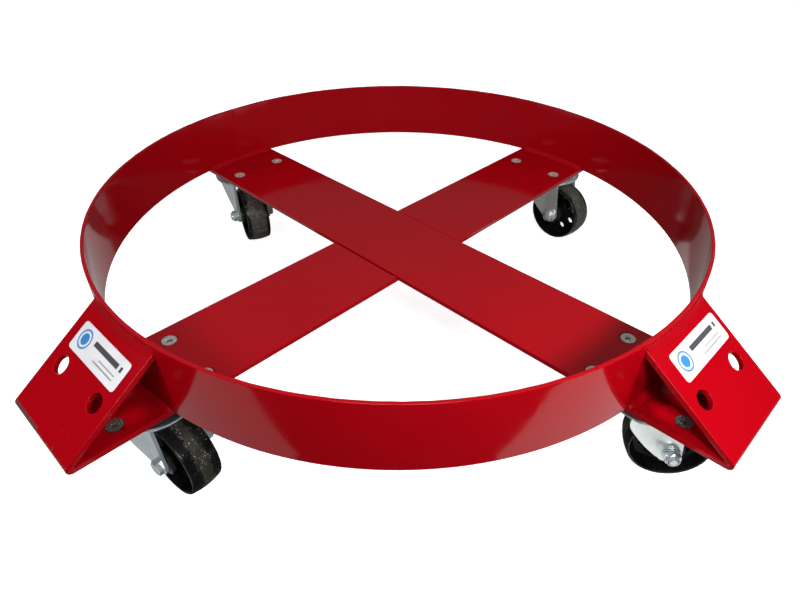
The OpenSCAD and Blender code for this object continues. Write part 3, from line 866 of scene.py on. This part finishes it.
# weld spatter under the paint, near the welds
def spatter():
    rng = np.random.RandomState(7)
    obs = []
    def blob(c, nrm, r, flat):
        bm = bmesh.new()
        bmesh.ops.create_icosphere(bm, subdivisions=2, radius=r)
        me = bpy.data.meshes.new("s")
        bm.to_mesh(me)
        bm.free()
        o = bpy.data.objects.new("s", me)
        COL.objects.link(o)
        q = Vector((0, 0, 1)).rotation_difference(Vector(nrm)).to_matrix().to_4x4()
        move(o, Matrix.Translation(c) @ q @ Matrix.Diagonal((1, 1, flat, 1)))
        obs.append(o)
    for k, deg in ARMS.items():
        m = rotz(deg)
        m3 = m.to_3x3()
        for _ in range(26):
            # on the deck, in the pocket and inside the ring
            side = rng.rand() < 0.62
            r = RO + 0.004 + 0.050 * rng.rand() ** 1.8 if side else RI - 0.004 - 0.030 * rng.rand() ** 2
            u = (rng.rand() * 2 - 1) * (HW - 0.006)
            blob(m @ Vector((r, u, DZ)), (0, 0, 1), 0.00035 + 0.00045 * rng.rand() ** 2, 0.75)
        for _ in range(12):
            # on the outside of the band, inside the pocket
            u = (rng.rand() * 2 - 1) * (HW + 0.004)
            z = DZ + 0.004 + 0.022 * rng.rand() ** 1.6
            x = math.sqrt(RO * RO - u * u)
            blob(m @ Vector((x, u, z)), m3 @ Vector((x / RO, u / RO, 0)), 0.0004 + 0.0004 * rng.rand(), 0.7)
        for _ in range(16):
            # along the top weld and just under the rim
            u = (rng.rand() * 2 - 1) * (HW + 0.006)
            x = math.sqrt(RO * RO - u * u)
            z = slope_z(x) + 0.005 + 0.004 * rng.rand()
            blob(m @ Vector((x, u, min(z, RIM - 0.001))), m3 @ Vector((x / RO, u / RO, 0)), 0.0004 + 0.0005 * rng.rand(), 0.7)
        for sgn in (-1, 1):
            for _ in range(4):
                x = RO + 0.001 + 0.006 * rng.rand()
                blob(m @ Vector((x, sgn * (HW - 0.0005), slope_z(x) - 0.001 - 0.002 * rng.rand())), m3 @ Vector((0, sgn, 0.3)), 0.0006 + 0.0008 * rng.rand(), 0.8)
            for _ in range(3):
                x = RO + 0.001 + 0.006 * rng.rand()
                blob(m @ Vector((x, sgn * (HW - 0.001), DZ + 0.0003)), m3 @ Vector((0, sgn * 0.4, 1)), 0.0006 + 0.0006 * rng.rand(), 0.8)
    return joined("weld_spatter", obs)


sp = spatter()
smooth(sp, 80, False)
out(sp, "frame", M_WELD, "red_paint")


# ------------------------------------------------------------------ labels
def label(k, s, u):
    th = 0.00028
    pts = rounded(0.0755, 0.0250, 0.0032, 8)
    o = prism("label_" + LONG[k] + "_film", pts, 0.0, th, "Z")
    bevel(o, 0.00010, 2, 40)
    smooth(o, 40)
    local_coords(o)
    r = RI - 0.0011 + s * math.cos(SLOPE)
    # along the label: across the arm; across it: up the slope
    ex, ey, ez = Vector((0, 1, 0)), Vector((-math.cos(SLOPE), 0, math.sin(SLOPE))), Vector((NX, 0, NZ))
    m = Matrix(((ex.x, ey.x, ez.x, r), (ex.y, ey.y, ez.y, u), (ex.z, ey.z, ez.z, slope_z(r)), (0, 0, 0, 1)))
    move(o, rotz(ARMS[k]) @ m)
    out(o, "frame", M_LABEL, "label_film", "label_" + LONG[k])


label("fl", 0.030, 0.0008)
label("fr", 0.0275, 0.0046)


# ------------------------------------------------------------------ deck screws and nuts
def screw_master():
    hd = 0.00735
    o = revolve("screw", [(0, 0.0001), (0.004, 0.00008), (hd - 0.0005, 0.0), (hd - 0.0001, -0.0001), (hd, -0.0004), (0.0041, -0.00365), (0.0040, -0.0040), (0.0040, -0.0172),
                          (0.0034, -0.0180), (0, -0.0180)], 40, False)
    cutters = []
    for a in (0, 90):
        L, w, d = 0.0043, 0.00100, 0.0027
        c = make("cut", [(-L, -w, 0.001), (L, -w, 0.001), (L, w, 0.001), (-L, w, 0.001), (-L * 0.42, -w * 0.6, -d), (L * 0.42, -w * 0.6, -d), (L * 0.42, w * 0.6, -d), (-L * 0.42, w * 0.6, -d)],
                 [(0, 1, 2, 3), (7, 6, 5, 4), (0, 4, 5, 1), (1, 5, 6, 2), (2, 6, 7, 3), (3, 7, 4, 0)])
        outward(c)
        cutters.append(move(c, rotz(a)))
    cutters.append(revolve("cut", [(0, 0.001), (0.0016, 0.001), (0.0012, -0.0024), (0, -0.0028)], 16, False))
    boolean(o, cutters)
    tidy(o)
    bevel(o, 0.00012, 2, 40)
    return o


def nut_master(af, h, bore, collar=True, n=40):
    r = af / 2 / math.cos(math.radians(30))
    o = prism("nut", hexagon(r), 0, h, "Z")
    c = revolve("cut", [(0, -0.001), (af / 2 * 0.97, -0.001), (af / 2 * 0.97, 0.0), (af / 2 * 1.16, 0.0011), (af / 2 * 1.16, h - 0.0014), (af / 2 * 0.94, h), (0, h)], 64, False)
    boolean(o, [c], "INTERSECT")
    if collar:
        c = revolve("col", [(bore + 0.0008, h - 0.001), (af / 2 * 0.90, h - 0.001), (af / 2 * 0.885, h + 0.0010), (af / 2 * 0.84, h + 0.0017), (af / 2 * 0.77, h + 0.0018), (bore + 0.0008, h + 0.0012)], 48)
        boolean(o, [c], "UNION")
    c = revolve("cut", [(0, -0.002), (bore, -0.002), (bore, h - 0.0002), (bore + 0.00078, h - 0.0002), (bore + 0.00078, h + 0.003), (0, h + 0.003)], n, False)
    boolean(o, [c])
    tidy(o)
    bevel(o, 0.00015, 2, 35)
    return o


scr = screw_master()
obs = []
turns = {"fl": (24, 61, 8, 40), "fr": (15, 70, 33, 52), "rl": (5, 48, 75, 20), "rr": (66, 12, 38, 81)}
screws = []
for k, deg in ARMS.items():
    i = 0
    for sx in (-1, 1):
        for sy in (-1, 1):
            o = copy(scr, "s")
            local_coords(o)
            move(o, rotz(deg) @ Matrix.Translation((0.303 + sx * 0.040, sy * 0.030, DZ - 0.00035)) @ rotz(turns[k][i]))
            screws.append(o)
            i += 1
drop(scr)
sc = joined("deck_screw_set", screws)
smooth(sc, 35)
out(sc, "frame", M_SCREW, "zinc_fastener", "deck_screws")

nt = nut_master(0.013, 0.0062, 0.0040)
nuts = []
for k, deg in ARMS.items():
    i = 0
    for sx in (-1, 1):
        for sy in (-1, 1):
            o = copy(nt, "n")
            local_coords(o)
            move(o, rotz(deg) @ Matrix.Translation((0.303 + sx * 0.040, sy * 0.030, BZ - 0.003)) @ Matrix.Rotation(math.pi, 4, "X") @ rotz(turns[k][i] * 1.7))
            nuts.append(o)
            i += 1
drop(nt)
nn = joined("deck_nut_set", nuts)
smooth(nn, 35)
out(nn, "frame", M_BOLT, "zinc_fastener", "deck_nuts")


# ------------------------------------------------------------------ casters
CZ = BZ - 0.0135                    # top of the fork crown
CR, CE = 0.0385, 0.003              # crown disc, and how far it stands off towards the wheel
LI = 0.0186                         # inner face of a leg
LT = 0.003
LO = LI + LT
BOSS = (TRAIL - 0.002, 0.0106)      # rounded end of a leg: centre and radius
BEND = TRAIL - 0.0115               # ahead of this the leg flares outwards
FLARE = math.radians(18.3)
TO_AXLE = Matrix.Translation((TRAIL, 0, WR))
ALONG = Matrix.Rotation(-math.pi / 2, 4, "X")     # a master's z runs along the axle


def leg_y(x, t):
    """Outer face of a leg at x and the angle of its slope there, with a soft bend; t is not used."""
    w = 0.0045
    d = BEND - x
    s = 0.0 if d < -w else (d if d > w else (d + w) ** 2 / (4 * w))
    slope = 0.0 if d < -w else (1.0 if d > w else (d + w) / (2 * w))
    y = LO + math.tan(FLARE) * s
    a = math.atan(math.tan(FLARE) * slope)
    return y, a


def fork_master():
    top = CZ - 0.0002
    # outline of a leg seen from the side: trailing edge, rounded end, curved leading edge
    bx, br = BOSS
    px, pz = TRAIL + 0.0035, CZ - 0.010
    dx, dz = px - bx, pz - WR
    t = math.atan2(dz, dx) - math.acos(br / math.hypot(dx, dz))
    cf = math.cos(FLARE)
    lead = [(u, CZ - h) for u, h in ((0.0, 0.0574), (0.005, 0.0523), (0.0147, 0.0413), (0.023, 0.0308), (0.0302, 0.0208), (0.0359, 0.0126), (0.0380, 0.0065), (0.0366, 0.0))]
    lead = [(BEND - u * cf, z) for u, z in lead]
    # smooth the leading edge
    L = np.array(lead)
    s_ = np.r_[0, np.cumsum(np.hypot(*np.diff(L, axis=0).T))]
    q = np.linspace(0, s_[-1], 200)
    xs, zs = np.interp(q, s_, L[:, 0]), np.interp(q, s_, L[:, 1])
    kern = np.hanning(61)
    kern /= kern.sum()
    xs2, zs2 = np.convolve(np.pad(xs, 30, mode="edge"), kern, "valid"), np.convolve(np.pad(zs, 30, mode="edge"), kern, "valid")
    lead = [(float(xs2[i]), float(zs2[i])) for i in range(6, 199, 8)]
    low = [(bx + br * math.cos(a), WR + br * math.sin(a)) for a in np.linspace(t, -math.radians(147), 22)]
    right = [(px, CZ + 0.001), (px, pz)]
    outline = right + low + lead + [(lead[-1][0], CZ + 0.001)]
    # the leg as a bent sheet: section in (x, y) pulled upwards, then cut to the outline
    xs = np.linspace(-0.034, 0.045, 48)
    outer, inner = [], []
    for x in xs:
        y, a = leg_y(x, LT)
        outer.append((x, -y))
        inner.append((x + LT * -math.sin(a) * 1.0, -y + LT * math.cos(a)))
    legs = []
    for sgn in (1, -1):
        sec = outer + inner[::-1]
        o = prism("leg", [(x, y * sgn) for x, y in sec], 0.015, CZ - 0.0012, "Z")
        c = prism("cut", outline, -0.05, 0.05, "Y")
        boolean(o, [c], "INTERSECT")
        legs.append(o)
    R = CR
    off = Matrix.Translation((CE, 0, 0))
    crown = revolve("crown", [(0, CZ - 0.0035), (R - 0.0012, CZ - 0.0035), (R - 0.0003, CZ - 0.0030), (R, CZ - 0.0021), (R, CZ - 0.0013), (R - 0.0003, CZ - 0.0005), (R - 0.0010, CZ),
                              (0, CZ)], 112, False)
    move(crown, off)
    boolean(crown, legs, "UNION")
    strap = crown
    hole = revolve("cut", [(0, -0.05), (0.0041, -0.05), (0.0041, 0.05), (0, 0.05)], 40, False)
    move(hole, TO_AXLE @ ALONG)
    bore = revolve("cut", [(0, CZ - 0.01), (0.0062, CZ - 0.01), (0.0062, CZ + 0.01), (0, CZ + 0.01)], 40, False)
    boolean(strap, [hole, bore])
    tidy(strap, 4e-6)
    bevel(strap, 0.0005, 2, 34)
    return strap


def wheel_master():
    """Wheel about its own axis, z along the axle."""
    h, hw, rr, bo, hb = 0.015, 0.0177, WR, 0.009, 0.0125
    side = [(bo, hw), (hb - 0.0010, hw), (hb - 0.0003, hw - 0.0003), (hb, hw - 0.0011), (hb, 0.0120), (hb + 0.0002, 0.0070), (hb + 0.0008, 0.0048), (hb + 0.0022, 0.0034), (hb + 0.0040, 0.0029),
            (rr - 0.0125, 0.0026), (rr - 0.0095, 0.0029), (rr - 0.0075, 0.0042), (rr - 0.0062, 0.0062), (rr - 0.0055, 0.0090), (rr - 0.0046, h - 0.0022), (rr - 0.0042, h - 0.0006),
            (rr - 0.0037, h - 0.0001), (rr - 0.0029, h), (rr - 0.0022, h - 0.0002), (rr - 0.0017, h - 0.0008), (rr - 0.0014, h - 0.0018)]
    tread = [(rr - 0.00145 * abs(t) ** 2.2, h * 0.86 * t) for t in np.linspace(1, -1, 17)[1:-1]]
    prof = side + tread + [(r, -z) for r, z in reversed(side)]
    o = revolve("wheel", prof, 120)
    cuts = []
    for i in range(8):
        c = revolve("cut", [(0, -0.012), (0.0046, -0.012), (0.0046, 0.012), (0, 0.012)], 32, False)
        a = math.radians(i * 45 + 22)
        cuts.append(move(c, Matrix.Translation((0.0216 * math.cos(a), 0.0216 * math.sin(a), 0))))
    boolean(o, cuts)
    tidy(o)
    return o


AF, AR = 0.013, 0.004               # axle hexagon and thread


def bolt_master():
    """Hex head at +z, shank through the legs, thread past the far one."""
    o = prism("bolt", hexagon(AF / 2 / math.cos(math.radians(30)), 12), LO, LO + 0.0053, "Z")
    k = AF / 0.016
    c = revolve("cut", [(0, LO - 0.001), (0.0088 * k, LO - 0.001), (0.0088 * k, LO + 0.0004), (0.0098 * k, LO + 0.0008), (0.0098 * k, LO + 0.0037), (0.0078 * k, LO + 0.0051),
                        (0.0070 * k, LO + 0.0053), (0, LO + 0.0053)], 64, False)
    boolean(o, [c], "INTERSECT")
    end = -(LO + 0.0015 + 0.0085)
    prof = [(0, LO + 0.001), (AR, LO + 0.001), (AR, -LO - 0.001)]
    z = -LO - 0.001
    while z - 0.0015 > end + 0.001:
        prof += [(AR - 0.00045, z - 0.0006), (AR, z - 0.0012)]
        z -= 0.0012
    prof += [(AR - 0.0001, end + 0.0010), (AR - 0.0009, end + 0.0001), (AR - 0.0018, end), (0, end + 0.0004)]
    boolean(o, [revolve("shank", prof, 40, False)], "UNION")
    tidy(o)
    bevel(o, 0.00014, 2, 38)
    return o


def washer_master():
    o = revolve("washer", [(0.0042, LO), (0.0082, LO), (0.0084, LO + 0.0003), (0.0084, LO + 0.0012), (0.0082, LO + 0.0015), (0.0042, LO + 0.0015)], 56)
    return o


def plate_master():
    """Fixed top plate, x along the arm, about the swivel axis."""
    o = prism("plate", rounded(0.100, 0.085, 0.009, 8), BZ - 0.003, BZ, "Z")
    boss = revolve("boss", [(0.0200, BZ - 0.0015), (0.0200, BZ - 0.0095), (0.0204, BZ - 0.0099), (0.0322, BZ - 0.0099), (0.0334, BZ - 0.0096), (0.0340, BZ - 0.0086), (0.0343, BZ - 0.0050),
                            (0.0352, BZ - 0.0036), (0.0368, BZ - 0.0030), (0.0368, BZ - 0.0015)], 80)
    boolean(o, [boss], "UNION")
    cuts = [revolve("cut", [(0, BZ - 0.02), (0.006, BZ - 0.02), (0.006, BZ + 0.01), (0, BZ + 0.01)], 40, False)]
    for sx in (-1, 1):
        for sy in (-1, 1):
            c = revolve("cut", [(0, BZ - 0.02), (0.00425, BZ - 0.02), (0.00425, BZ + 0.01), (0, BZ + 0.01)], 32, False)
            cuts.append(move(c, Matrix.Translation((sx * 0.040, sy * 0.030, 0))))
    boolean(o, cuts)
    tidy(o)
    bevel(o, 0.0003, 2, 40)
    return o


fork_m, wheel_m, bolt_m, wash_m, plate_m = fork_master(), wheel_master(), bolt_master(), washer_master(), plate_master()
anut_m = nut_master(AF, 0.0060, AR)
nyl_m = revolve("nyl", [(0.00405, 0.0056), (0.0047, 0.0056), (0.0047, 0.0068), (0.0045, 0.0070), (0.00405, 0.0069)], 40)
for o in (fork_m, plate_m):
    local_coords(o)
    smooth(o, 35)
smooth(wheel_m, 35)
move(wheel_m, ALONG)
local_coords(wheel_m)
for o in (bolt_m, wash_m, anut_m, nyl_m):
    local_coords(o)
    smooth(o, 35)
HEAD = {"fl": -1, "fr": 1, "rl": 1, "rr": 1}
SPIN = {"fl": 12, "fr": 33, "rl": 5, "rr": 20}
for k in ARMS:
    fb, wb_, sd = "fork_" + LONG[k], "wheel_" + LONG[k], HEAD[k]
    out(copy(fork_m, "fork_" + k + "_pressing", CF[k]), fb, M_ZINC[k], "zinc_plate", "fork_" + k)
    out(copy(wheel_m, "wheel_" + k + "_cast", CF[k] @ TO_AXLE), wb_, M_WHEEL[k], "wheel_black", "wheel_" + k)
    face = CF[k] @ TO_AXLE @ ALONG @ (Matrix.Rotation(math.pi, 4, "X") if sd < 0 else Matrix.Identity(4))
    back = CF[k] @ TO_AXLE @ ALONG @ (Matrix.Identity(4) if sd < 0 else Matrix.Rotation(math.pi, 4, "X"))
    out(copy(bolt_m, "axle_bolt_" + k + "_hex", face), fb, M_BOLT, "zinc_fastener", "axle_bolt_" + k)
    out(copy(wash_m, "axle_washer_" + k + "_flat", back), fb, M_BOLT, "zinc_fastener", "axle_washer_" + k)
    nm = back @ Matrix.Translation((0, 0, LO + 0.0015)) @ rotz(SPIN[k])
    out(copy(anut_m, "axle_nut_" + k + "_lock", nm), fb, M_BOLT, "zinc_fastener", "axle_nut_" + k)
    out(copy(nyl_m, "axle_nut_" + k + "_insert", nm), fb, M_NYLON, "zinc_fastener")
    c = CF[k].copy()
    base = Matrix.Translation((c[0][3], c[1][3], 0)) @ rotz(ARMS[k])
    out(copy(plate_m, "plate_" + k + "_pressing", base), "frame", M_PLATE, "zinc_plate", "plate_" + k)
for o in (fork_m, wheel_m, bolt_m, wash_m, plate_m, anut_m, nyl_m):
    drop(o)

# CAD nodes that stay in view, deep inside the casters
for k in ARMS:
    for n, mat, slot in (("kingpin_", M_STEEL, "plain_steel"), ("balls_", M_STEEL, "plain_steel"), ("spacer_", M_STEEL, "plain_steel"), ("bush_", M_BRONZE, "bronze_bush")):
        o = frame["nodes"][n + k]
        o.data.materials.clear()
        o.data.materials.append(mat)


# ------------------------------------------------------------------ floor, light, camera
def plane(name, lo, hi, z, mat):
    o = make(name, [(lo[0], lo[1], z), (hi[0], lo[1], z), (hi[0], hi[1], z), (lo[0], hi[1], z)], [(0, 1, 2, 3)])
    o.data.materials.append(mat)
    return o


gf = G("floor_pale")
gf.set(color=gf.mix(gf.noise(gf.obj(), 3, 3), (0.80, 0.80, 0.80), (0.77, 0.77, 0.775)), rough=0.9, spec=0.0)
gf.bsdf.inputs["Emission Color"].default_value = (1, 1, 1, 1)
gf.bsdf.inputs["Emission Strength"].default_value = 0.80
floor = plane("floor", (-8, -8), (8, 8), 0.0, gf.mat)
floor.visible_diffuse = False       # the bounce from below is the world's lower half, which is dimmer

# cards lying on the floor, as in a studio: seen only in the gloss of the paint and the plating
def card(name, pts, level, z):
    g = G(name + "_face")
    g.set(color=(0.004, 0.004, 0.004), rough=0.9, spec=0.0)
    g.bsdf.inputs["Emission Color"].default_value = (1.0, 1.0, 1.0, 1)
    g.bsdf.inputs["Emission Strength"].default_value = level
    o = make(name, [(x, y, z) for x, y in pts], [tuple(range(len(pts)))])
    o.data.materials.append(g.mat)
    o.visible_camera = o.visible_diffuse = o.visible_shadow = o.visible_transmission = False


def ringpts(a0, a1, r=0.62, n=24):
    return [(r * math.cos(math.radians(a0 + (a1 - a0) * i / n)), r * math.sin(math.radians(a0 + (a1 - a0) * i / n))) for i in range(n + 1)]


card("card_base", [(-6, -6), (6, -6), (6, 6), (-6, 6)], 0.05, 0.0002)
card("card_left", ringpts(135, 315), 0.46, 0.0003)
card("card_right", ringpts(-45, 135), 0.86, 0.0003)
card("card_front", [(0.166, -0.357), (0.350, -0.173), (0.461, -0.081), (0.530, -0.030), (0.50, -0.30), (0.30, -0.50), (0.040, -0.520), (0.092, -0.456)], 0.0, 0.0006)
card("card_back", [(-0.03, 0.335), (0.30, 0.22), (0.42, 0.34), (0.35, 0.55), (-0.06, 0.55)], 0.30, 0.0004)
card("card_inside", [(0.166, -0.357), (-0.16, -0.28), (-0.30, -0.03), (-0.42, -0.01), (-0.46, 0.40), (-0.10, 0.44), (-0.02, 0.345), (0.05, 0.27), (0.28, 0.14), (0.350, -0.173)], 0.05, 0.0005)

def glint(name, centre, sx, sy, level):
    card(name, [(-sx / 2, -sy / 2), (sx / 2, -sy / 2), (sx / 2, sy / 2), (-sx / 2, sy / 2)], level, 0.0)
    o = bpy.data.objects[name]
    q = (Vector((0.15, -0.15, 0.12)) - Vector(centre)).to_track_quat("Z", "Y")
    move(o, Matrix.Translation(centre) @ q.to_matrix().to_4x4())


glint("card_glint", (0.92, -0.92, 0.78), 0.85, 0.35, 7.0)

world = bpy.data.worlds.new("studio")
SC.world = world
world.use_nodes = True
wt = world.node_tree
bg = wt.nodes["Background"]
tc = wt.nodes.new("ShaderNodeTexCoord")
sx = wt.nodes.new("ShaderNodeSeparateXYZ")
cr = wt.nodes.new("ShaderNodeValToRGB")
half = wt.nodes.new("ShaderNodeMath")
half.operation = "MULTIPLY_ADD"
half.inputs[1].default_value = half.inputs[2].default_value = 0.5
wt.links.new(tc.outputs["Generated"], sx.inputs[0])
wt.links.new(sx.outputs[2], half.inputs[0])
wt.links.new(half.outputs[0], cr.inputs[0])
wt.links.new(cr.outputs[0], bg.inputs[0])
# height of the direction, 0 straight down to 1 straight up: dim bounce, dark walls, softly lit ceiling
el_ = cr.color_ramp.elements
el_[0].position, el_[0].color = 0.0, (0.26, 0.26, 0.26, 1)
el_[1].position, el_[1].color = 1.0, (0.20, 0.205, 0.215, 1)
for pos_, c_ in ((0.44, 0.24), (0.50, 0.02), (0.69, 0.015), (0.735, 0.17)):
    e_ = el_.new(pos_)
    e_.color = (c_, c_ * 1.01, c_ * 1.05, 1)
bg.inputs[1].default_value = 1.0


def lamp(name, loc, power, size, shine=False):
    l = bpy.data.lights.new(name, "POINT")
    l.energy, l.shadow_soft_size = power, size
    o = bpy.data.objects.new(name, l)
    COL.objects.link(o)
    o.location = loc
    o.visible_glossy, o.visible_camera = shine, False
    return o


LAMPS = {
    "rear_soft": ((-1.5, 1.5, 1.8), 40.5, 0.35, False), "top_soft": ((-0.6, 0.3, 1.8), 15.0, 0.30, False),
    "right_near": ((0.60, 0.0, 0.50), 10.5, 0.06, False), "right_front": ((0.60, -0.30, 0.50), 11.0, 0.06, False),
    "left_near": ((0.0, -0.60, 0.46), 5.4, 0.06, False), "front_soft": ((0.30, -0.90, 0.90), 5.6, 0.12, False)}
for n_, (loc_, w_, r_, g_) in LAMPS.items():
    lamp(n_, loc_, w_, r_, g_)

cam_d = bpy.data.cameras.new("cam")
cam = bpy.data.objects.new("cam", cam_d)
COL.objects.link(cam)
cam_d.sensor_width = 36.0
cam_d.lens = 621.756 / 800 * 36.0
cam_d.clip_start, cam_d.clip_end = 0.02, 60
el, az, roll = math.radians(37.629), math.radians(44.233), math.radians(0.235)
back = Vector((math.sin(az) * math.cos(el), -math.cos(az) * math.cos(el), math.sin(el)))
right = Vector((math.cos(az), math.sin(az), 0))
up = back.cross(right)
R = right * math.cos(roll) + up * math.sin(roll)
U = -right * math.sin(roll) + up * math.cos(roll)
pos = Vector((0.41160, -0.41931, 0.37034 + DZ))
cam.matrix_world = Matrix(((R.x, U.x, back.x, pos.x), (R.y, U.y, back.y, pos.y), (R.z, U.z, back.z, pos.z), (0, 0, 0, 1)))
SC.camera = cam

SC.view_settings.view_transform = "Standard"
SC.view_settings.look = "None"
SC.view_settings.exposure = 0.0
SC.view_settings.gamma = 1.0
